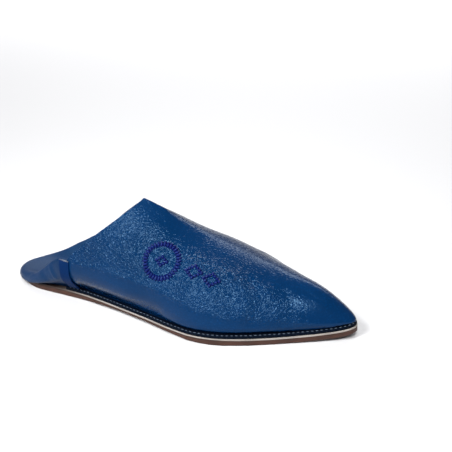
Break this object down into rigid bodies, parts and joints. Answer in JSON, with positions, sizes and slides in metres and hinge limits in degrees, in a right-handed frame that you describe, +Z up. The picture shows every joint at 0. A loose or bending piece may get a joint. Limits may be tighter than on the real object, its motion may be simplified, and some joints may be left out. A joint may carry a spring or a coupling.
{
  "type": "babouche slipper",
  "caption": "Flat leather slipper with a pointed closed toe, a peaked collar, a stitched sole edge and a back folded down inside the heel.",
  "frame": {"origin": "on the ground under the middle of the shoe's bounding box", "axes": "+X towards the toe, +Y towards the inner side of the foot, +Z up"},
  "size_m": [0.2835, 0.1017, 0.0824],
  "materials": {
    "outsole": "brown sole leather, cut edge",
    "midsole": "pale raw leather edge",
    "insole": "smooth, matt",
    "rand": "dark navy, stitched",
    "vamp": "glossy, pebbled grain",
    "folded_back": "glossy, smooth",
    "seam_strip": "satin"
  },
  "bodies": {
    "root": {"outsole": "outsole", "midsole": "midsole", "insole": "insole", "rand": "rand", "vamp": "vamp", "folded_back": "folded_back", "seam_strip_outer": "seam_strip", "seam_strip_inner": "seam_strip"}
  },
  "joints": []
}
